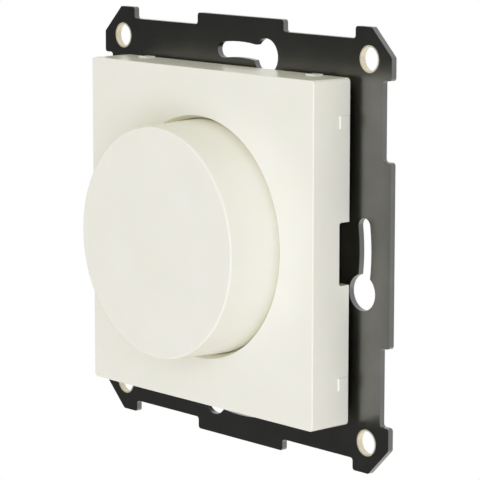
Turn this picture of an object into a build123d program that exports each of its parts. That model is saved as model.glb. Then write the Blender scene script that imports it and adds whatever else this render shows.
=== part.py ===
import os

from build123d import *

os.makedirs("parts", exist_ok=True)

# Front view of a wall device: X to the right, Z up. A height is a distance in front of the wall plane,
# so it runs along -Y, and a negative height lies inside the wall box. All sizes are in millimetres.
front_view = Plane.XZ
from_back = (Align.CENTER, Align.CENTER, Align.MIN)
from_front = (Align.CENTER, Align.CENTER, Align.MAX)

# Clearances
press_gap = 0.01
contact_gap = 0.05
running_gap = 0.05
solder_gap = 0.1
loose_gap = 0.1
locate_gap = 0.15
board_gap = 0.3
near = 0.01

# Support frame
frame_thick = 1.0
key_radius = 29.8
key_margin = 5.45
key_slot_width = 2.6
key_circle_r = 2.9
key_circle_angle = 12.4
key_slot_angle = 8.0
limb_step = 1.95
ear_length = 8.05
ear_chamfer = 4.45
ear_hole_inset = 4.95
tab_half_top = 10.6
tab_half_side = 14.6
step_round = 0.5
bush_outer_r = 2.15
bush_inner_r = 1.9

# Place of the insert: its axis lies this far below the middle of the frame
insert_drop = 0.2
insert_view = Plane(origin=(0, 0, -insert_drop), x_dir=(1, 0, 0), z_dir=(0, -1, 0))
insert_side_view = Plane(origin=(0, 0, -insert_drop), x_dir=(0, 1, 0), z_dir=(1, 0, 0))

# Centre plate
plate_side = 55.0
plate_depth = 7.7
plate_gap = 1.35
plate_wall = 1.8
plate_corner_r = 0.7
plate_front_r = 0.2
recess_margin = 7.6
recess_bevel = 0.6
bevel_depth = 1.8
recess_wall = 1.6
floor_thick = 1.5
notch_width = 10.0
notch_depth = 2.1
notch_corner_r = 0.4
notch_spare = 0.2
lug_offset = 20.7
lug_width = 2.0
lug_length = 1.9
lug_proud = 0.2
lug_inset = 0.35
lug_chamfer = 0.14

# Insert: flange on the frame, lid on the flange, body through the frame's window
flange_thick = 1.4
flange_margin = 1.2
flange_corner_r = 2.0
lid_thick = 2.0
lid_rim_depth = 1.2
lid_rim_wall = 1.2
body_half_x = 14.0
body_inset = 5.5
body_wall = 1.4
body_corner_r = 1.5
body_chamfer = 0.45
window_gap = 0.2
post_z = 7.5
post_width = 2.0
screw_margin_x = 3.4
screw_edge_x = 3.1
screw_edge_z = 7.0
screw_r = 1.25
screw_head_r = 2.2
screw_head_h = 1.3
driver_slot = 0.6
peg_x = 13.0
peg_r = 1.0
peg_h = 1.2

# Knob, spindle and push travel
push_travel = 1.2
knob_rise = 9.1
knob_gap = 0.1
knob_taper = 0.5
knob_wall = 1.7
knob_face = 2.0
knob_edge_r = 0.3
skirt_clear = 0.8
hub_r = 4.6
hub_clear = 0.4
rib_count = 6
rib_thick = 1.2
rib_height = 5.0
rib_overlap = 0.5
bore_lead = 0.8
spindle_r = 3.0
spindle_clear = 0.3
spindle_chamfer = 0.4
spindle_flat = 1.5
flat_shoulder = 0.6
drive_flat = 2.3
drive_spare = 0.3
drive_clear = 0.2
tail_r = 2.0
tail_length = 3.7
tail_round = 0.65
clip_r = 3.4
clip_thick = 0.5
clip_groove_r = 1.5
clip_mouth = 2.55

# Potentiometer
neck_r = 4.0
neck_spare = 0.4
washer_thick = 0.5
washer_r = 7.0
nut_thick = 2.0
nut_across = 13.0
pot_r = 8.5
pot_flange = 0.8
pot_cup_depth = 5.2
pot_wall = 0.9
pot_floor = 1.0
rotor_margin = 2.3
rotor_gap = 0.4
rotor_thick = 1.8
rotor_lug_margin = 1.2
rotor_lug_width = 3.0
stop_margin = 2.0
stop_width = 5.0
track_thick = 0.8
track_inner_r = 3.4
wiper_thick = 0.2
wiper_half_width = 1.1
wiper_margin = 2.6
wiper_foot = 0.7
wiper_arm = 1.1
wiper_toe = 0.5
wiper_fold = 0.1
wiper_gap = 0.04
pin_r = 0.35
pin_pitch = 3.2
pin_count = 3
pin_inset = 2.2
pin_spare = 0.5

# Circuit board and push switch
board_thick = 1.6
board_hole_r = 4.2
switch_side = 11.0
switch_wall = 1.0
switch_front = 0.9
switch_floor = 0.8
plunger_r = 2.6
plunger_flange_r = 3.6
plunger_flange = 0.7
plunger_top = 0.8
plunger_gap = 0.03
spring_r = 1.6
spring_wire_r = 0.18
spring_turns = 3.5
spring_room = 0.4
spring_end_gap = 0.02
bridge_thick = 0.2
bridge_width = 1.8
bridge_rim = 0.4
bridge_hole_r = 2.1
contact_thick = 0.4
contact_width = 1.2
contact_length = 5.4
contact_x = 3.8
contact_z = 1.5
contact_pin_z = 3.6

# Parts on the board
part_height_gap = 0.2
choke_margin_x = 1.0
choke_margin_z = 0.6
choke_tuck = 0.5
choke_hole_r = 2.0
choke_lead_gap = 3.0
winding = 0.55
capacitor_margin_x = 1.6
capacitor_margin_z = 0.9
capacitor_gap = 1.0
capacitor_edge_r = 0.4
capacitor_pin_inset = 1.4
fuse_r = 1.5
fuse_gap = 1.4
fuse_pot_gap = 2.2
fuse_inset = 0.6
fuse_pin_inset = 1.0
tab_margin = 1.6
tab_length = 15.0
tab_thick = 1.2
triac_margin = 1.1
triac_gap = 4.0
triac_inset = 6.2
triac_length = 9.0
triac_chamfer = 0.3
lead_width = 0.8
lead_thick = 0.5
lead_pitch = 2.54
lead_count = 3
lead_length = 4.0
rivet_inset = 2.8
rivet_r = 1.5
rivet_head_r = 2.6
rivet_head_h = 0.7
chip_inset = 3.3
chip_width = 4.0
chip_length = 5.0
chip_height = 1.5

# Wire clamps
clamp_count = 3
clamp_side_gap = 0.6
clamp_spacing = 1.6
clamp_margin = 1.6
clamp_length = 6.6
clamp_height = 6.2
clamp_board_gap = 0.4
clamp_back_gap = 0.2
wire_inset = 4.0
wire_hole = 3.4
wire_opening = 3.8
clamp_screw_r = 1.25
clamp_screw_head_r = 1.9
clamp_screw_head_h = 1.6
clamp_screw_length = 2.4
clamp_screw_gap = 0.3
driver_hole_r = 2.15
tongue_width = 2.4
tongue_length = 2.6
tongue_thick = 0.8

# Outlines that follow from the sizes above
frame_half = key_radius + key_margin
limb_half = frame_half - limb_step
ear_middle = frame_half - ear_length / 2
ear_hole_pitch = 2 * (frame_half - ear_hole_inset)
plate_half = plate_side / 2
recess_r = plate_half - recess_margin
throat_r = recess_r - recess_bevel
knob_base_r = throat_r - knob_gap
knob_front_r = knob_base_r - knob_taper
rib_length = knob_front_r - knob_wall / 2 - hub_r + rib_overlap
flange_half_z = plate_half - plate_wall - flange_margin
screw_x = body_half_x + screw_margin_x
screw_z = flange_half_z - screw_edge_z
flange_half_x = screw_x + screw_edge_x
body_half_z = plate_half - body_inset
cavity_half_x = body_half_x - body_wall
cavity_half_z = body_half_z - body_wall
rim_x = cavity_half_x - locate_gap
rim_z = cavity_half_z - locate_gap
board_half_x = cavity_half_x - board_gap
board_high = cavity_half_z - board_gap
clamp_low = cavity_half_z - clamp_margin
clamp_high = clamp_low - clamp_length
board_low = clamp_high - clamp_board_gap
wire_z = clamp_low - wire_inset
clamp_pitch = 2 * (cavity_half_x - clamp_side_gap) / clamp_count
clamp_width = clamp_pitch - clamp_spacing
pin_drop = pot_r - pin_inset
rotor_r = pot_r - rotor_margin
rotor_lug_r = pot_r - rotor_lug_margin
stop_inner_r = pot_r - stop_margin
wiper_tip_r = pot_r - wiper_margin
wiper_knee_r = wiper_tip_r - wiper_toe
wiper_bend_r = wiper_knee_r - wiper_arm
wiper_root_r = wiper_bend_r - wiper_foot
choke_r = (cavity_half_z - choke_margin_z - pot_r + choke_tuck) / 2
choke_x = choke_margin_x + choke_r - cavity_half_x
choke_z = cavity_half_z - choke_margin_z - choke_r
capacitor_left = choke_x + choke_r + capacitor_gap
capacitor_length = cavity_half_x - capacitor_margin_x - capacitor_left
capacitor_x = capacitor_left + capacitor_length / 2
capacitor_pitch = capacitor_length - 2 * capacitor_pin_inset
fuse_length = capacitor_length - 2 * fuse_inset
fuse_pitch = fuse_length - 2 * fuse_pin_inset
fuse_z = pot_r + fuse_pot_gap + fuse_r
capacitor_width = cavity_half_z - capacitor_margin_z - fuse_z - fuse_r - fuse_gap
capacitor_z = cavity_half_z - capacitor_margin_z - capacitor_width / 2
triac_low = switch_side / 2 + triac_gap
triac_width = cavity_half_z - triac_margin - triac_low
triac_z = triac_low + triac_width / 2
tab_start = tab_margin - cavity_half_x
triac_start = tab_start + triac_inset
lead_start = triac_start + triac_length
rivet_x = tab_start + rivet_inset
chip_x = board_half_x - chip_inset

# Heights that follow from the sizes above, front to back
flange_front = frame_thick + flange_thick
lid_front = flange_front + lid_thick
floor_front = lid_front + floor_thick
plate_back = frame_thick + plate_gap
plate_front = plate_back + plate_depth
lug_back = plate_back + lug_inset
lug_front = lug_back + lug_length
knob_front = plate_front + knob_rise
knob_inside = knob_front - knob_face
skirt_back = floor_front + push_travel + skirt_clear
washer_front = floor_front + washer_thick
nut_front = washer_front + nut_thick
neck_front = nut_front + neck_spare
hub_back = neck_front + push_travel + hub_clear
spindle_front = knob_inside - spindle_clear
pot_front = flange_front - pot_flange
pot_back = pot_front - pot_cup_depth
track_back = pot_back + pot_floor
track_front = track_back + track_thick
rotor_front = pot_front - rotor_gap
rotor_back = rotor_front - rotor_thick
drive_front = rotor_front + push_travel + drive_spare
drive_back = track_back + push_travel + drive_clear
spindle_back = drive_back - tail_length
clip_front = pot_back - running_gap
board_front = pot_back
board_back = board_front - board_thick
switch_inside = board_back - switch_front
plunger_front = spindle_back - plunger_gap
plunger_flange_front = switch_inside - running_gap
plunger_back = plunger_flange_front - plunger_flange
pocket_front = plunger_front - plunger_top
contact_front = plunger_back - bridge_thick - push_travel - contact_gap
switch_deep = contact_front - contact_thick
switch_back = switch_deep - switch_floor
cavity_back = switch_back - loose_gap
body_back = cavity_back - body_wall
part_height = flange_front - lid_rim_depth - part_height_gap - board_front
clamp_back = cavity_back + clamp_back_gap
clamp_mid = clamp_back + clamp_height / 2
clamp_screw_seat = clamp_low + clamp_screw_gap
spring_front = pocket_front - spring_wire_r - spring_end_gap
spring_height = spring_front - switch_deep - spring_wire_r - spring_end_gap
flat_length = spindle_front - hub_back - flat_shoulder
wiper_tip = -track_front - wiper_gap

with BuildLine() as key_arc:
    CenterArc((0, 0), key_radius, -key_circle_angle, key_circle_angle + key_slot_angle)

with BuildPart(front_view) as support_frame:
    with BuildSketch(front_view) as frame_outline:
        Rectangle(2 * limb_half, 2 * limb_half)
        Rectangle(2 * tab_half_top, 2 * frame_half)
        Rectangle(2 * frame_half, 2 * tab_half_side)
        with GridLocations(2 * ear_middle, 2 * ear_middle, 2, 2):
            Rectangle(ear_length, ear_length)
        chamfer(frame_outline.vertices().sort_by_distance((0, 0, 0))[-4:], ear_chamfer)
        fillet(frame_outline.vertices(), step_round)
        with GridLocations(ear_hole_pitch, ear_hole_pitch, 2, 2):
            Circle(bush_outer_r + press_gap, mode=Mode.SUBTRACT)
        with PolarLocations(0, 4):
            SlotArc(key_arc.edge(), key_slot_width, mode=Mode.SUBTRACT)
        with PolarLocations(key_radius, 4, start_angle=-key_circle_angle):
            Circle(key_circle_r, mode=Mode.SUBTRACT)
        with Locations((0, -insert_drop)):
            RectangleRounded(
                2 * (body_half_x + window_gap),
                2 * (body_half_z + window_gap),
                body_corner_r + window_gap,
                mode=Mode.SUBTRACT,
            )
            with GridLocations(2 * screw_x, 2 * screw_z, 2, 2):
                Circle(screw_r + press_gap, mode=Mode.SUBTRACT)
    extrude(amount=frame_thick)
support_frame.part.label = "support_frame"
export_step(support_frame.part, "parts/support_frame.step")

with BuildPart(front_view) as frame_bushes:
    with GridLocations(ear_hole_pitch, ear_hole_pitch, 2, 2):
        Cylinder(bush_outer_r, frame_thick, align=from_back)
        Cylinder(bush_inner_r, frame_thick, align=from_back, mode=Mode.SUBTRACT)
frame_bushes.part.label = "frame_bushes"
export_step(frame_bushes.part, "parts/frame_bushes.step")

with BuildPart(insert_view) as rear_housing:
    with Locations((0, 0, body_back)):
        Box(2 * body_half_x, 2 * body_half_z, flange_front - body_back, align=from_back)
    fillet(rear_housing.edges().filter_by(Axis.Y), body_corner_r)
    chamfer(rear_housing.faces().sort_by(Axis.Y)[-1].edges(), body_chamfer)
    with BuildSketch(insert_view.offset(frame_thick)):
        RectangleRounded(2 * flange_half_x, 2 * flange_half_z, flange_corner_r)
    extrude(amount=flange_thick)
    with Locations((0, 0, cavity_back)):
        Box(
            2 * cavity_half_x,
            2 * cavity_half_z,
            flange_front - cavity_back,
            align=from_back,
            mode=Mode.SUBTRACT,
        )
    with GridLocations(2 * screw_x, 2 * screw_z, 2, 2):
        with Locations((0, 0, frame_thick)):
            Cylinder(screw_r + locate_gap, flange_thick, align=from_back, mode=Mode.SUBTRACT)
    with GridLocations(2 * cavity_half_x - body_wall, 2 * post_z, 2, 2):
        with Locations((0, 0, cavity_back)):
            Box(body_wall, post_width, board_back - cavity_back, align=from_back)
    with GridLocations(clamp_pitch, 1, clamp_count - 1, 1):
        with Locations((0, -(clamp_high + cavity_half_z) / 2, cavity_back)):
            Box(clamp_spacing - 2 * board_gap, cavity_half_z - clamp_high, clamp_height, align=from_back)
    with GridLocations(clamp_pitch, 1, clamp_count, 1):
        with Locations((0, -wire_z, cavity_back)):
            Box(wire_opening, wire_opening, body_wall, align=from_front, mode=Mode.SUBTRACT)
        with Locations((0, -(body_half_z - body_wall / 2), clamp_mid)):
            Cylinder(driver_hole_r, 2 * body_wall, rotation=(90, 0, 0), mode=Mode.SUBTRACT)
rear_housing.part.label = "rear_housing"
export_step(rear_housing.part, "parts/rear_housing.step")

with BuildPart(insert_view) as front_lid:
    with BuildSketch(insert_view.offset(flange_front)):
        RectangleRounded(2 * flange_half_x, 2 * flange_half_z, flange_corner_r)
    extrude(amount=lid_thick)
    with Locations((0, 0, flange_front)):
        Box(2 * rim_x, 2 * rim_z, lid_rim_depth, align=from_front)
        Box(
            2 * (rim_x - lid_rim_wall),
            2 * (rim_z - lid_rim_wall),
            lid_rim_depth,
            align=from_front,
            mode=Mode.SUBTRACT,
        )
        Cylinder(neck_r + running_gap, lid_thick, align=from_back, mode=Mode.SUBTRACT)
    with Locations((peg_x, 0, lid_front), (-peg_x, 0, lid_front)):
        Cylinder(peg_r, peg_h, align=from_back)
    with GridLocations(2 * screw_x, 2 * screw_z, 2, 2):
        with Locations((0, 0, flange_front)):
            Cylinder(screw_r + locate_gap, lid_thick, align=from_back, mode=Mode.SUBTRACT)
front_lid.part.label = "front_lid"
export_step(front_lid.part, "parts/front_lid.step")

with BuildPart(insert_view) as lid_screws:
    with GridLocations(2 * screw_x, 2 * screw_z, 2, 2):
        with Locations((0, 0, lid_front)):
            Cylinder(screw_r, lid_front - loose_gap, align=from_front)
            Cylinder(screw_head_r, screw_head_h, align=from_back)
        with Locations((0, 0, lid_front + screw_head_h)):
            Box(2 * screw_head_r, driver_slot, driver_slot, align=from_front, mode=Mode.SUBTRACT)
lid_screws.part.label = "lid_screws"
export_step(lid_screws.part, "parts/lid_screws.step")

with BuildPart(insert_view) as centre_plate:
    with Locations((0, 0, plate_back)):
        Box(plate_side, plate_side, plate_depth, align=from_back)
    fillet(centre_plate.edges().filter_by(Axis.Y), plate_corner_r)
    fillet(centre_plate.faces().sort_by(Axis.Y)[0].edges(), plate_front_r)
    with Locations((0, 0, plate_back)):
        Box(
            plate_side - 2 * plate_wall,
            plate_side - 2 * plate_wall,
            plate_depth - plate_wall,
            align=from_back,
            mode=Mode.SUBTRACT,
        )
    with Locations((0, 0, lid_front)):
        Cylinder(recess_r + recess_wall, plate_front - plate_wall - lid_front, align=from_back)
    with Locations((0, 0, floor_front)):
        Cylinder(throat_r, plate_front - floor_front, align=from_back, mode=Mode.SUBTRACT)
    with Locations((0, 0, plate_front)):
        Cone(throat_r, recess_r, bevel_depth, align=from_front, mode=Mode.SUBTRACT)
    with Locations((0, 0, lid_front)):
        Cylinder(neck_r + board_gap, floor_thick, align=from_back, mode=Mode.SUBTRACT)
    with Locations((peg_x, 0, lid_front), (-peg_x, 0, lid_front)):
        Cylinder(peg_r + locate_gap, floor_thick, align=from_back, mode=Mode.SUBTRACT)
    with Locations((plate_half, 0, plate_back), (-plate_half, 0, plate_back)):
        Box(2 * plate_wall + notch_spare, notch_width, notch_depth, align=from_back, mode=Mode.SUBTRACT)
    notch_corners = (
        centre_plate.edges()
        .filter_by(Axis.X)
        .filter_by(lambda edge: abs(edge.center().Y + plate_back + notch_depth) < near)
    )
    fillet(notch_corners, notch_corner_r)
    with PolarLocations(plate_half, 4):
        with Locations((0, lug_offset, lug_back), (0, -lug_offset, lug_back)):
            Box(2 * lug_proud, lug_width, lug_length, align=from_back)
    lug_edges = (
        centre_plate.edges()
        .filter_by(lambda edge: abs(edge.center().Y + lug_front) < near)
        .filter_by(lambda edge: abs(edge.length - lug_width) < near)
        .filter_by(
            lambda edge: max(abs(edge.center().X), abs(edge.center().Z + insert_drop)) > plate_half + near
        )
    )
    chamfer(lug_edges, lug_chamfer)
centre_plate.part.label = "centre_plate"
export_step(centre_plate.part, "parts/centre_plate.step")

with BuildPart(insert_view) as nut_washer:
    with Locations((0, 0, floor_front)):
        Cylinder(washer_r, washer_thick, align=from_back)
        Cylinder(neck_r + locate_gap, washer_thick, align=from_back, mode=Mode.SUBTRACT)
nut_washer.part.label = "nut_washer"
export_step(nut_washer.part, "parts/nut_washer.step")

with BuildPart(insert_view) as plate_nut:
    with BuildSketch(insert_view.offset(washer_front)):
        RegularPolygon(nut_across / 2, 6, major_radius=False)
        Circle(neck_r + press_gap, mode=Mode.SUBTRACT)
    extrude(amount=nut_thick)
plate_nut.part.label = "plate_nut"
export_step(plate_nut.part, "parts/plate_nut.step")

with BuildPart(insert_view) as pot_neck:
    with Locations((0, 0, pot_front)):
        Cylinder(pot_r, pot_flange, align=from_back)
        Cylinder(neck_r, neck_front - pot_front, align=from_back)
        Cylinder(spindle_r + running_gap, neck_front - pot_front, align=from_back, mode=Mode.SUBTRACT)
pot_neck.part.label = "pot_neck"
export_step(pot_neck.part, "parts/pot_neck.step")

with BuildPart(insert_view) as pot_cup:
    with Locations((0, 0, pot_back)):
        Cylinder(pot_r, pot_cup_depth, align=from_back)
    with Locations((0, 0, track_back)):
        Cylinder(pot_r - pot_wall, pot_front - track_back, align=from_back, mode=Mode.SUBTRACT)
    with Locations((0, -(stop_inner_r + pot_r - pot_wall / 2) / 2, track_front)):
        Box(stop_width, pot_r - pot_wall / 2 - stop_inner_r, pot_front - track_front, align=from_back)
    with Locations((0, 0, pot_back)):
        Cylinder(tail_r + loose_gap, pot_floor, align=from_back, mode=Mode.SUBTRACT)
    with GridLocations(pin_pitch, 1, pin_count, 1):
        with Locations((0, -pin_drop, pot_back)):
            Cylinder(pin_r + running_gap, pot_floor, align=from_back, mode=Mode.SUBTRACT)
pot_cup.part.label = "pot_cup"
export_step(pot_cup.part, "parts/pot_cup.step")

with BuildPart(insert_view) as resistor_track:
    with Locations((0, 0, track_back)):
        Cylinder(pot_r - pot_wall - locate_gap, track_thick, align=from_back)
        Cylinder(track_inner_r, track_thick, align=from_back, mode=Mode.SUBTRACT)
resistor_track.part.label = "resistor_track"
export_step(resistor_track.part, "parts/resistor_track.step")

with BuildPart(insert_view) as track_pins:
    with GridLocations(pin_pitch, 1, pin_count, 1):
        with Locations((0, -pin_drop, track_back)):
            Cylinder(pin_r, track_back - board_back + pin_spare, align=from_front)
track_pins.part.label = "track_pins"
export_step(track_pins.part, "parts/track_pins.step")

with BuildPart(insert_view) as wiper_rotor:
    with BuildSketch(insert_view.offset(rotor_back)):
        Circle(rotor_r)
        with Locations((0, rotor_lug_r / 2)):
            Rectangle(rotor_lug_width, rotor_lug_r)
        with BuildSketch(mode=Mode.SUBTRACT):
            Circle(spindle_r + running_gap)
            Rectangle(2 * (drive_flat + running_gap), 4 * spindle_r, mode=Mode.INTERSECT)
    extrude(amount=rotor_thick)
wiper_rotor.part.label = "wiper_rotor"
export_step(wiper_rotor.part, "parts/wiper_rotor.step")

with BuildPart() as wiper_contact:
    with BuildSketch(insert_side_view):
        with BuildLine():
            Polyline(
                (-rotor_back, wiper_root_r),
                (-rotor_back + wiper_thick, wiper_root_r),
                (-rotor_back + wiper_thick, wiper_bend_r),
                (wiper_tip, wiper_knee_r),
                (wiper_tip, wiper_tip_r),
                (wiper_tip - wiper_thick, wiper_tip_r),
                (wiper_tip - wiper_thick, wiper_knee_r + wiper_fold),
                (-rotor_back, wiper_bend_r + wiper_fold),
                close=True,
            )
        make_face()
    extrude(amount=wiper_half_width, both=True)
wiper_contact.part.label = "wiper_contact"
export_step(wiper_contact.part, "parts/wiper_contact.step")

with BuildPart(insert_view) as spindle:
    with Locations((0, 0, spindle_back)):
        Cylinder(tail_r, tail_length, align=from_back)
    fillet(spindle.faces().sort_by(Axis.Y)[-1].edges(), tail_round)
    with Locations((0, 0, drive_back)):
        Cylinder(spindle_r, spindle_front - drive_back, align=from_back)
    chamfer(spindle.faces().sort_by(Axis.Y)[0].edges(), spindle_chamfer)
    with Locations((spindle_r + drive_flat, 0, drive_back), (-spindle_r - drive_flat, 0, drive_back)):
        Box(2 * spindle_r, 2 * spindle_r, drive_front - drive_back, align=from_back, mode=Mode.SUBTRACT)
    with Locations((0, spindle_r + spindle_flat, spindle_front)):
        Box(2 * spindle_r, 2 * spindle_r, flat_length, align=from_front, mode=Mode.SUBTRACT)
    with BuildSketch(insert_view.offset(clip_front)):
        Circle(spindle_r)
        Circle(clip_groove_r, mode=Mode.SUBTRACT)
    extrude(amount=-clip_thick, mode=Mode.SUBTRACT)
spindle.part.label = "spindle"
export_step(spindle.part, "parts/spindle.step")

with BuildPart(insert_view) as spindle_clip:
    with BuildSketch(insert_view.offset(clip_front)):
        Circle(clip_r)
        Circle(clip_groove_r + press_gap, mode=Mode.SUBTRACT)
        with Locations((0, -clip_r)):
            Rectangle(clip_mouth, 2 * clip_r, mode=Mode.SUBTRACT)
    extrude(amount=-clip_thick)
spindle_clip.part.label = "spindle_clip"
export_step(spindle_clip.part, "parts/spindle_clip.step")

with BuildPart(insert_view) as knob:
    with Locations((0, 0, skirt_back)):
        Cone(knob_base_r, knob_front_r, knob_front - skirt_back, align=from_back)
        Cone(
            knob_base_r - knob_wall,
            knob_front_r - knob_wall,
            knob_inside - skirt_back,
            align=from_back,
            mode=Mode.SUBTRACT,
        )
    fillet(knob.faces().sort_by(Axis.Y)[0].edges(), knob_edge_r)
    with Locations((0, 0, hub_back)):
        Cylinder(hub_r, knob_inside - hub_back, align=from_back)
    with PolarLocations(hub_r - rib_overlap + rib_length / 2, rib_count):
        with Locations((0, 0, knob_inside)):
            Box(rib_length, rib_thick, rib_height, align=from_front)
    with BuildSketch(insert_view.offset(hub_back)):
        Circle(spindle_r + press_gap)
        with Locations((0, spindle_r + spindle_flat + press_gap)):
            Rectangle(4 * spindle_r, 2 * spindle_r, mode=Mode.SUBTRACT)
    extrude(amount=spindle_front + loose_gap - hub_back, mode=Mode.SUBTRACT)
    with Locations((0, 0, hub_back)):
        Cylinder(spindle_r + press_gap, bore_lead, align=from_back, mode=Mode.SUBTRACT)
knob.part.label = "knob"
export_step(knob.part, "parts/knob.step")

with BuildPart(insert_view) as circuit_board:
    with Locations((0, (board_high - board_low) / 2, board_back)):
        Box(2 * board_half_x, board_high + board_low, board_thick, align=from_back)
    with Locations((0, 0, board_back)):
        Cylinder(board_hole_r, board_thick, align=from_back, mode=Mode.SUBTRACT)
    with GridLocations(pin_pitch, 1, pin_count, 1):
        with Locations((0, -pin_drop, board_back)):
            Cylinder(pin_r + running_gap, board_thick, align=from_back, mode=Mode.SUBTRACT)
    with Locations((contact_x, contact_pin_z, board_back), (-contact_x, contact_pin_z, board_back)):
        Cylinder(pin_r + running_gap, board_thick, align=from_back, mode=Mode.SUBTRACT)
    with GridLocations(capacitor_pitch, 1, 2, 1):
        with Locations((capacitor_x, capacitor_z, board_back)):
            Cylinder(pin_r + running_gap, board_thick, align=from_back, mode=Mode.SUBTRACT)
    with GridLocations(fuse_pitch, 1, 2, 1):
        with Locations((capacitor_x, fuse_z, board_back)):
            Cylinder(pin_r + running_gap, board_thick, align=from_back, mode=Mode.SUBTRACT)
    with Locations((rivet_x, triac_z, board_back)):
        Cylinder(rivet_r + running_gap, board_thick, align=from_back, mode=Mode.SUBTRACT)
circuit_board.part.label = "circuit_board"
export_step(circuit_board.part, "parts/circuit_board.step")

with BuildPart(insert_view) as switch_box:
    with Locations((0, 0, switch_back)):
        Box(switch_side, switch_side, board_back - switch_back, align=from_back)
    with Locations((0, 0, switch_deep)):
        Box(
            switch_side - 2 * switch_wall,
            switch_side - 2 * switch_wall,
            switch_inside - switch_deep,
            align=from_back,
            mode=Mode.SUBTRACT,
        )
    with Locations((0, 0, board_back)):
        Cylinder(plunger_r + 2 * running_gap, switch_front, align=from_front, mode=Mode.SUBTRACT)
        Cylinder(clip_r + board_gap, switch_front / 2, align=from_front, mode=Mode.SUBTRACT)
    with Locations((contact_x, contact_pin_z, board_back), (-contact_x, contact_pin_z, board_back)):
        Cylinder(pin_r + running_gap, switch_front, align=from_front, mode=Mode.SUBTRACT)
switch_box.part.label = "switch_box"
export_step(switch_box.part, "parts/switch_box.step")

with BuildPart(insert_view) as switch_plunger:
    with Locations((0, 0, plunger_back)):
        Cylinder(plunger_r, plunger_front - plunger_back, align=from_back)
        Cylinder(plunger_flange_r, plunger_flange, align=from_back)
        Cylinder(spring_r + spring_room, pocket_front - plunger_back, align=from_back, mode=Mode.SUBTRACT)
switch_plunger.part.label = "switch_plunger"
export_step(switch_plunger.part, "parts/switch_plunger.step")

with BuildPart(insert_view) as bridge_contact:
    with BuildSketch(insert_view.offset(plunger_back)):
        Circle(plunger_flange_r - bridge_rim)
        Rectangle(2 * (contact_x + bridge_rim), bridge_width)
        Circle(bridge_hole_r, mode=Mode.SUBTRACT)
    extrude(amount=-bridge_thick)
bridge_contact.part.label = "bridge_contact"
export_step(bridge_contact.part, "parts/bridge_contact.step")

with BuildPart(insert_view) as switch_contacts:
    with Locations((contact_x, contact_z, switch_deep), (-contact_x, contact_z, switch_deep)):
        Box(contact_width, contact_length, contact_thick, align=from_back)
    with Locations((contact_x, contact_pin_z, switch_deep), (-contact_x, contact_pin_z, switch_deep)):
        Cylinder(pin_r, board_front - solder_gap - switch_deep, align=from_back)
switch_contacts.part.label = "switch_contacts"
export_step(switch_contacts.part, "parts/switch_contacts.step")

with BuildPart() as return_spring:
    with BuildLine() as spring_path:
        Helix(
            pitch=spring_height / spring_turns,
            height=spring_height,
            radius=spring_r,
            center=(0, -spring_front, -insert_drop),
            direction=(0, 1, 0),
        )
    with BuildSketch(Plane(origin=spring_path.line @ 0, z_dir=spring_path.line % 0)):
        Circle(spring_wire_r)
    sweep(path=spring_path.line, is_frenet=True)
return_spring.part.label = "return_spring"
export_step(return_spring.part, "parts/return_spring.step")

with BuildPart(insert_view) as choke_core:
    with Locations((choke_x, choke_z, board_front + winding)):
        Cylinder(choke_r - winding, part_height - 2 * winding, align=from_back)
        Cylinder(choke_hole_r + winding, part_height - 2 * winding, align=from_back, mode=Mode.SUBTRACT)
choke_core.part.label = "choke_core"
export_step(choke_core.part, "parts/choke_core.step")

with BuildPart(insert_view) as choke_winding:
    with Locations((choke_x, choke_z, board_front)):
        Cylinder(choke_r, part_height, align=from_back)
        Cylinder(choke_hole_r, part_height, align=from_back, mode=Mode.SUBTRACT)
    with BuildSketch(insert_view.offset(board_front + winding - running_gap)):
        with Locations((choke_x, choke_z)):
            Circle(choke_r - winding + running_gap)
            Circle(choke_hole_r + winding - running_gap, mode=Mode.SUBTRACT)
    extrude(amount=part_height - 2 * winding + 2 * running_gap, mode=Mode.SUBTRACT)
    with Locations((choke_x, choke_z - choke_r, board_front)):
        Box(choke_lead_gap, 2 * choke_r, part_height, align=from_back, mode=Mode.SUBTRACT)
choke_winding.part.label = "choke_winding"
export_step(choke_winding.part, "parts/choke_winding.step")

with BuildPart(insert_view) as filter_capacitor:
    with Locations((capacitor_x, capacitor_z, board_front)):
        Box(capacitor_length, capacitor_width, part_height, align=from_back)
    fillet(filter_capacitor.faces().sort_by(Axis.Y)[0].edges(), capacitor_edge_r)
    with GridLocations(capacitor_pitch, 1, 2, 1):
        with Locations((capacitor_x, capacitor_z, board_front)):
            Cylinder(pin_r, board_thick - solder_gap, align=from_front)
filter_capacitor.part.label = "filter_capacitor"
export_step(filter_capacitor.part, "parts/filter_capacitor.step")

with BuildPart(insert_view) as thermal_fuse:
    with Locations((capacitor_x, fuse_z, board_front + fuse_r + contact_gap)):
        Cylinder(fuse_r, fuse_length, rotation=(0, 90, 0))
    with GridLocations(fuse_pitch, 1, 2, 1):
        with Locations((capacitor_x, fuse_z, board_front + fuse_r)):
            Cylinder(pin_r, fuse_r + board_thick - solder_gap, align=from_front)
thermal_fuse.part.label = "thermal_fuse"
export_step(thermal_fuse.part, "parts/thermal_fuse.step")

with BuildPart(insert_view) as triac_tab:
    with Locations((tab_start + tab_length / 2, triac_z, board_back)):
        Box(tab_length, triac_width, tab_thick, align=from_front)
    with Locations((rivet_x, triac_z, board_back)):
        Cylinder(rivet_r + running_gap, tab_thick, align=from_front, mode=Mode.SUBTRACT)
    with GridLocations(1, lead_pitch, 1, lead_count):
        with Locations((lead_start + lead_length / 2, triac_z, board_back - tab_thick)):
            Box(lead_length, lead_width, lead_thick, align=from_front)
        with Locations((lead_start + lead_length - lead_thick / 2, triac_z, board_back)):
            Box(lead_thick, lead_width, tab_thick + lead_thick, align=from_front)
triac_tab.part.label = "triac_tab"
export_step(triac_tab.part, "parts/triac_tab.step")

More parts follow.
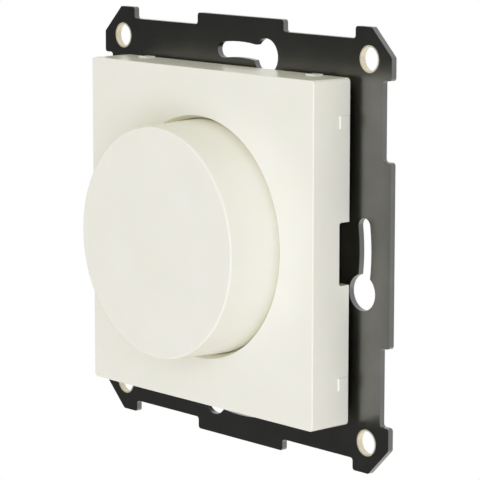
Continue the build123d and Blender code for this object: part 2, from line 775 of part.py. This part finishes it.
with BuildPart(insert_view) as triac_body:
    with Locations((triac_start + triac_length / 2, triac_z, board_back - tab_thick)):
        Box(triac_length, triac_width, board_back - tab_thick - switch_back, align=from_front)
    chamfer(triac_body.faces().sort_by(Axis.Y)[-1].edges(), triac_chamfer)
triac_body.part.label = "triac_body"
export_step(triac_body.part, "parts/triac_body.step")

with BuildPart(insert_view) as tab_rivet:
    with Locations((rivet_x, triac_z, board_back - tab_thick)):
        Cylinder(rivet_r, tab_thick + board_thick - contact_gap, align=from_back)
        Cylinder(rivet_head_r, rivet_head_h, align=from_front)
tab_rivet.part.label = "tab_rivet"
export_step(tab_rivet.part, "parts/tab_rivet.step")

with BuildPart(insert_view) as control_chips:
    with GridLocations(2 * chip_x, 1, 2, 1):
        with Locations((0, 0, board_back)):
            Box(chip_width, chip_length, chip_height, align=from_front)
control_chips.part.label = "control_chips"
export_step(control_chips.part, "parts/control_chips.step")

with BuildPart(insert_view) as wire_clamps:
    with GridLocations(clamp_pitch, 1, clamp_count, 1):
        with Locations((0, -(clamp_low + clamp_high) / 2, clamp_back)):
            Box(clamp_width, clamp_low - clamp_high, clamp_height, align=from_back)
        with Locations((0, -clamp_high + tongue_length / 2, board_back)):
            Box(tongue_width, tongue_length, tongue_thick, align=from_front)
        with Locations((0, -wire_z, clamp_back)):
            Box(wire_hole, wire_hole, clamp_height, align=from_back, mode=Mode.SUBTRACT)
        with Locations((0, -(clamp_low + wire_z) / 2, clamp_mid)):
            Cylinder(
                clamp_screw_r + press_gap,
                clamp_low - wire_z + loose_gap,
                rotation=(90, 0, 0),
                mode=Mode.SUBTRACT,
            )
wire_clamps.part.label = "wire_clamps"
export_step(wire_clamps.part, "parts/wire_clamps.step")

with BuildPart(insert_view) as clamp_screws:
    with GridLocations(clamp_pitch, 1, clamp_count, 1):
        with Locations((0, -clamp_screw_seat + clamp_screw_length / 2, clamp_mid)):
            Cylinder(clamp_screw_r, clamp_screw_length, rotation=(90, 0, 0))
        with Locations((0, -clamp_screw_seat - clamp_screw_head_h / 2, clamp_mid)):
            Cylinder(clamp_screw_head_r, clamp_screw_head_h, rotation=(90, 0, 0))
        with Locations((0, -clamp_screw_seat - clamp_screw_head_h, clamp_mid)):
            Box(2 * clamp_screw_head_r, 2 * driver_slot, driver_slot, mode=Mode.SUBTRACT)
clamp_screws.part.label = "clamp_screws"
export_step(clamp_screws.part, "parts/clamp_screws.step")
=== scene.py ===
from math import cos, radians, sin

import bpy
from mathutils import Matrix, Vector


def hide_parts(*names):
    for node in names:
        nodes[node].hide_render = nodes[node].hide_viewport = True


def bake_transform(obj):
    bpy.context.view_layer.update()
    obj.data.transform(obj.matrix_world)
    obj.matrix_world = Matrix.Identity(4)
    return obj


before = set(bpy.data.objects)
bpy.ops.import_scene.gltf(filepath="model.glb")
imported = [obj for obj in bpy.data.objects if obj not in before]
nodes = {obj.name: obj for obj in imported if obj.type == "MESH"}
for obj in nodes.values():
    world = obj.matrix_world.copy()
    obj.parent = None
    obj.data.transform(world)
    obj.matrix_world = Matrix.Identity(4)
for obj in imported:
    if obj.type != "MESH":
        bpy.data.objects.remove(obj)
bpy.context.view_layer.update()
mm = 0.001
white = (1.0, 1.0, 1.0, 1.0)


def linear(hexText):
    # sRGB hex to the linear colour that the shader sockets take
    parts = [int(hexText[i:i + 2], 16) / 255 for i in (1, 3, 5)]
    return tuple(p / 12.92 if p <= 0.04045 else ((p + 0.055) / 1.055) ** 2.4 for p in parts) + (1.0,)


def addNode(tree, kind, settings=None, links=None):
    # one node, its settings by attribute or socket name, and its links by socket name
    node = tree.nodes.new(kind)
    for name, value in (settings or {}).items():
        if isinstance(name, str) and hasattr(node, name):
            setattr(node, name, value)
        else:
            node.inputs[name].default_value = value
    for name, output in (links or {}).items():
        tree.links.new(output, node.inputs[name])
    return node


# Finishes of the pieces that show, by material slot. Each has two colours that mottle into each other, a
# range of roughness and a fine relief, with the size of each pattern, and the values that hold all over
finishSettings = {
    # Moulded thermoplastic: warm white, a faint flow mottle, and a soft sheen that mirrors at a flat angle
    "ivory_plastic": {
        "name": "ivory thermoplastic moulded", "dark": "#F4F3E4", "light": "#F6F5E8", "mottleMm": 9.0,
        "rough": (0.24, 0.27), "roughMm": 2.0, "reliefMm": 0.6, "reliefDepthMm": 0.0002,
        "allOver": {
            "IOR": 1.49, "Subsurface Weight": 0.08, "Subsurface Radius": (0.9, 0.7, 0.4),
            "Subsurface Scale": mm,
        },
    },
    # Stamped steel with a black nickel plate: a dark satin metal in which the plate beside it is a soft blur
    "black_frame": {
        "name": "black nickel plated steel stamped", "dark": "#80807E", "light": "#888886", "mottleMm": 6.0,
        "rough": (0.28, 0.31), "roughMm": 1.2, "reliefMm": 0.4, "reliefDepthMm": 0.0002,
        "allOver": {"Metallic": 1.0},
    },
    # Spark-textured thermoset: near black and matt, with a fine grain that breaks up the light
    "black_housing": {
        "name": "black thermoset spark textured", "dark": "#0B0B0D", "light": "#131315", "mottleMm": 0.25,
        "rough": (0.5, 0.65), "roughMm": 1.5, "reliefMm": 0.25, "reliefDepthMm": 0.01,
        "allOver": {"Specular IOR Level": 0.25},
    },
}

# Finishes of the small and inner pieces: name, dark and light colour, metallic, roughness and mottle in mm
smallFinishes = {
    # a light yellow metal whose lacquer softens the shine
    "pale_brass": ("pale brass lacquered", "#E8DFC0", "#F0E8D0", 0.4, (0.26, 0.36), 0.5),
    # cool grey with a dull shine
    "zinc_steel": ("zinc plated steel", "#B4B7BA", "#C8CACC", 1.0, (0.25, 0.4), 0.4),
    # warm grey and bright
    "nickel_brass": ("nickel plated brass", "#C3BFB4", "#D2CFC6", 1.0, (0.2, 0.32), 0.5),
    # milky, with a waxy sheen
    "nut_plastic": ("natural nylon moulded", "#D9D6C8", "#E2E0D4", 0.0, (0.4, 0.5), 0.6),
    # dark brown, flecked by its filler
    "brown_phenolic": ("brown phenolic moulded", "#4A2F1F", "#5A3A26", 0.0, (0.4, 0.52), 0.3),
    # matt black with a fine print grain
    "carbon_track": ("carbon track printed", "#141416", "#202124", 0.0, (0.5, 0.62), 0.15),
    # clean white with a slippery sheen
    "white_acetal": ("white acetal moulded", "#E6E6E2", "#F0F0EC", 0.0, (0.3, 0.4), 0.5),
    # reddish gold strip, smooth from the rolls
    "spring_bronze": ("phosphor bronze rolled", "#B98A55", "#C99A63", 1.0, (0.25, 0.36), 0.3),
    # mid grey wire with a drawn shine
    "spring_steel": ("spring steel drawn", "#A6A8AA", "#B8BABC", 1.0, (0.25, 0.35), 0.2),
    # pale silver, a little cloudy
    "tinned_copper": ("tinned copper drawn", "#C4C6C8", "#D4D6D8", 1.0, (0.28, 0.42), 0.3),
    # deep green under a clear resist
    "board_laminate": ("green glass laminate", "#1C4A2C", "#245A36", 0.0, (0.3, 0.42), 0.8),
    # flat black
    "black_epoxy": ("black epoxy moulded", "#151515", "#1F1F1F", 0.0, (0.5, 0.62), 0.2),
    # ochre coat with a slight orange peel
    "yellow_core": ("powder coated iron core", "#C8A93A", "#D6B848", 0.0, (0.4, 0.55), 0.3),
    # red brown and bright under the enamel
    "enamelled_copper": ("enamelled copper wire", "#8E4420", "#A8562A", 1.0, (0.2, 0.3), 0.3),
    # strong blue with a smooth skin
    "blue_capacitor": ("blue flame proof case", "#1F4E86", "#285C98", 0.0, (0.3, 0.4), 0.4),
    # off-white and half matt
    "fuse_case": ("white ceramic case", "#DAD8D0", "#E8E6DE", 0.0, (0.35, 0.48), 0.4),
}
smallReliefDepthMm = 0.004
for slotName, (name, dark, light, metallic, rough, mottleMm) in smallFinishes.items():
    finishSettings[slotName] = {
        "name": name, "dark": dark, "light": light, "mottleMm": mottleMm,
        "rough": rough, "roughMm": 2 * mottleMm, "reliefMm": mottleMm, "reliefDepthMm": smallReliefDepthMm,
        "allOver": {"Metallic": metallic},
    }
noise = {"detail": 2.0, "low": 0.3, "high": 0.7}    # most of the noise lies between low and high


def makeFinish(finish):
    material = bpy.data.materials.new(finish["name"])
    material.use_nodes = True
    tree = material.node_tree
    surface = tree.nodes["Principled BSDF"]
    place = addNode(tree, "ShaderNodeTexCoord").outputs["Object"]
    patterns = {
        "colour": (finish["mottleMm"], 0, 1),
        "rough": (finish["roughMm"], *finish["rough"]),
        "relief": (finish["reliefMm"], 0, 1),
    }
    values = {}
    for use, (sizeMm, low, high) in patterns.items():
        cloud = addNode(tree, "ShaderNodeTexNoise", {"Scale": 1 / (sizeMm * mm), "Detail": noise["detail"]},
                        {"Vector": place})
        spread = addNode(tree, "ShaderNodeMapRange", {
            "From Min": noise["low"], "From Max": noise["high"], "To Min": low, "To Max": high},
            {"Value": cloud.outputs["Fac"]})
        values[use] = spread.outputs["Result"]
    ramp = addNode(tree, "ShaderNodeValToRGB", links={"Fac": values["colour"]})
    ramp.color_ramp.elements[0].color = linear(finish["dark"])
    ramp.color_ramp.elements[1].color = linear(finish["light"])
    bump = addNode(tree, "ShaderNodeBump", {"Strength": 1.0, "Distance": finish["reliefDepthMm"] * mm},
                   {"Height": values["relief"]})
    tree.links.new(ramp.outputs["Color"], surface.inputs["Base Color"])
    tree.links.new(values["rough"], surface.inputs["Roughness"])
    tree.links.new(bump.outputs["Normal"], surface.inputs["Normal"])
    for socket, value in finish["allOver"].items():
        surface.inputs[socket].default_value = value
    return material


finishes = {slotName: makeFinish(finish) for slotName, finish in finishSettings.items()}
for node in nodes.values():
    slotName = node.data.materials[0].name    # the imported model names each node's slot
    node.data.materials.clear()
    node.data.materials.append(finishes[slotName])
print("finishes set on", len(nodes), "nodes")

# The return spring shortens with the push in the real dimmer; here it is a copy of its wire with the loose
# triangles merged, in place of the imported node
spring = {"node": "return_spring", "slot": "spring_steel", "mergeMm": 0.001}
springPiece = bpy.data.objects.new("return_spring_wire", nodes[spring["node"]].data.copy())
springPiece.data.name = springPiece.name
bpy.context.collection.objects.link(springPiece)
bpy.ops.object.select_all(action="DESELECT")
springPiece.select_set(True)
bpy.context.view_layer.objects.active = springPiece
bpy.ops.object.mode_set(mode="EDIT")
bpy.ops.mesh.select_all(action="SELECT")
bpy.ops.mesh.remove_doubles(threshold=spring["mergeMm"] * mm)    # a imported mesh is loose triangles
bpy.ops.object.mode_set(mode="OBJECT")
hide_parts(spring["node"])
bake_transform(springPiece)

# Stage: a pale matt floor well below, which glows just enough to look white, in a white studio with an even
# soft light. Mirrored in the object the studio is less white to the right and dim at the front left
stage = {
    "floorDropM": 0.35, "floorSizeM": 1.2, "floorBackM": 0.35, "floorHex": "#F4F4F2", "floorRough": 0.9,
    "floorGlow": 0.46, "floorGlowColour": (0.87, 0.89, 1.0, 1.0),
    "skyLevel": 0.63, "skyColour": (1.0, 0.978, 0.831, 1.0), "mirrorLevel": 0.85, "mirrorLean": (-0.2, 0, 0),
    "cornerWay": (-0.745, -0.646, -0.16), "cornerFrom": 0.45, "cornerTo": 0.8, "cornerLevel": 0.085,
    "diffuseBounces": 12, "allBounces": 16,    # the narrow ring round the knob is lit by many bounces
}
bpy.ops.object.select_all(action="DESELECT")
bpy.ops.mesh.primitive_plane_add(size=stage["floorSizeM"],
                                 location=(0, stage["floorBackM"], -stage["floorDropM"]))
floor = bpy.context.object
floor.name = "floor"

floorMaterial = bpy.data.materials.new("matt floor paint")
floorMaterial.use_nodes = True
floorTree = floorMaterial.node_tree
paint = floorTree.nodes["Principled BSDF"]
paint.inputs["Base Color"].default_value = linear(stage["floorHex"])
paint.inputs["Roughness"].default_value = stage["floorRough"]
paint.inputs["Emission Color"].default_value = stage["floorGlowColour"]
floorRay = addNode(floorTree, "ShaderNodeLightPath").outputs
floorSeen = addNode(floorTree, "ShaderNodeMath", {"operation": "MAXIMUM"},
                    {0: floorRay["Is Camera Ray"], 1: floorRay["Is Glossy Ray"]})
floorShown = addNode(floorTree, "ShaderNodeMath", {"operation": "MAXIMUM"},
                     {0: floorSeen.outputs["Value"], 1: floorRay["Is Transmission Ray"]})
floorGlow = addNode(floorTree, "ShaderNodeMath", {"operation": "MULTIPLY", 1: stage["floorGlow"]},
                    {0: floorShown.outputs["Value"]})
floorTree.links.new(floorGlow.outputs["Value"], paint.inputs["Emission Strength"])
floor.data.materials.append(floorMaterial)

world = bpy.data.worlds.new("studio")
bpy.context.scene.world = world
world.use_nodes = True
tree = world.node_tree
way = addNode(tree, "ShaderNodeTexCoord").outputs["Generated"]
softSky = addNode(tree, "ShaderNodeBackground", {"Color": stage["skyColour"], "Strength": stage["skyLevel"]})
lean = addNode(tree, "ShaderNodeVectorMath", {"operation": "DOT_PRODUCT", 1: stage["mirrorLean"]}, {0: way})
level = addNode(tree, "ShaderNodeMath", {"operation": "ADD", 1: stage["mirrorLevel"]},
                {0: lean.outputs["Value"]})
corner = addNode(tree, "ShaderNodeVectorMath", {"operation": "DOT_PRODUCT", 1: stage["cornerWay"]}, {0: way})
shade = addNode(tree, "ShaderNodeMapRange", {
    "interpolation_type": "SMOOTHSTEP", "From Min": stage["cornerFrom"], "From Max": stage["cornerTo"],
    "To Min": 1.0, "To Max": stage["cornerLevel"]}, {"Value": corner.outputs["Value"]})
strength = addNode(tree, "ShaderNodeMath", {"operation": "MULTIPLY"},
                   {0: level.outputs["Value"], 1: shade.outputs["Result"]})
mirroredSky = addNode(tree, "ShaderNodeBackground", {"Color": white}, {"Strength": strength.outputs["Value"]})
whiteSky = addNode(tree, "ShaderNodeBackground", {"Color": white, "Strength": 1.0})
ray = addNode(tree, "ShaderNodeLightPath").outputs
mirrored = addNode(tree, "ShaderNodeMath", {"operation": "MAXIMUM"},
                   {0: ray["Is Glossy Ray"], 1: ray["Is Transmission Ray"]})
litSky = addNode(tree, "ShaderNodeMixShader",
                 links={0: mirrored.outputs["Value"], 1: softSky.outputs[0], 2: mirroredSky.outputs[0]})
sky = addNode(tree, "ShaderNodeMixShader",
              links={0: ray["Is Camera Ray"], 1: litSky.outputs[0], 2: whiteSky.outputs[0]})
tree.links.new(sky.outputs[0], tree.nodes["World Output"].inputs["Surface"])

# One large soft lamp beside the camera
keyLamp = {"at": (0.902, -1.197, 0.052), "sizeM": 1.6, "powerW": 17.1, "colour": (0.708, 0.726, 1.0)}
light = bpy.data.lights.new("key", "AREA")
light.shape = "SQUARE"
light.size = keyLamp["sizeM"]
light.energy = keyLamp["powerW"]
light.color = keyLamp["colour"]
lightObject = bpy.data.objects.new("key", light)
bpy.context.collection.objects.link(lightObject)
lightObject.visible_glossy = False    # it lights the form and leaves no square in the gloss
lightObject.location = keyLamp["at"]
lightObject.rotation_euler = (-Vector(keyLamp["at"])).to_track_quat("-Z", "Y").to_euler()

# Camera at the photo's angle: a long lens, aimed a little below the middle
camera = {
    "azimuth": 48.86, "elevation": 9.26, "distanceMm": 419.6, "aimRightMm": -0.71, "aimUpMm": -1.69,
    "focalPx": 2546.0, "photoPx": 480, "sensorMm": 36, "clipStartM": 0.01,
}
turn = radians(camera["azimuth"])
tilt = radians(camera["elevation"])
toCamera = Vector((sin(turn) * cos(tilt), -cos(turn) * cos(tilt), sin(tilt)))
rightWay = Vector((cos(turn), sin(turn), 0))
upWay = toCamera.cross(rightWay)
aim = rightWay * camera["aimRightMm"] * mm + upWay * camera["aimUpMm"] * mm
cameraData = bpy.data.cameras.new("camera")
cameraData.sensor_width = camera["sensorMm"]
cameraData.lens = camera["focalPx"] / camera["photoPx"] * camera["sensorMm"]
cameraData.clip_start = camera["clipStartM"]
cameraObject = bpy.data.objects.new("camera", cameraData)
bpy.context.collection.objects.link(cameraObject)
cameraObject.location = aim + toCamera * camera["distanceMm"] * mm
cameraObject.rotation_euler = toCamera.to_track_quat("Z", "Y").to_euler()
bpy.context.scene.camera = cameraObject
bpy.context.scene.view_settings.view_transform = "Standard"
bpy.context.scene.cycles.diffuse_bounces = stage["diffuseBounces"]
bpy.context.scene.cycles.max_bounces = stage["allBounces"]
print("stage, lamp and camera placed")
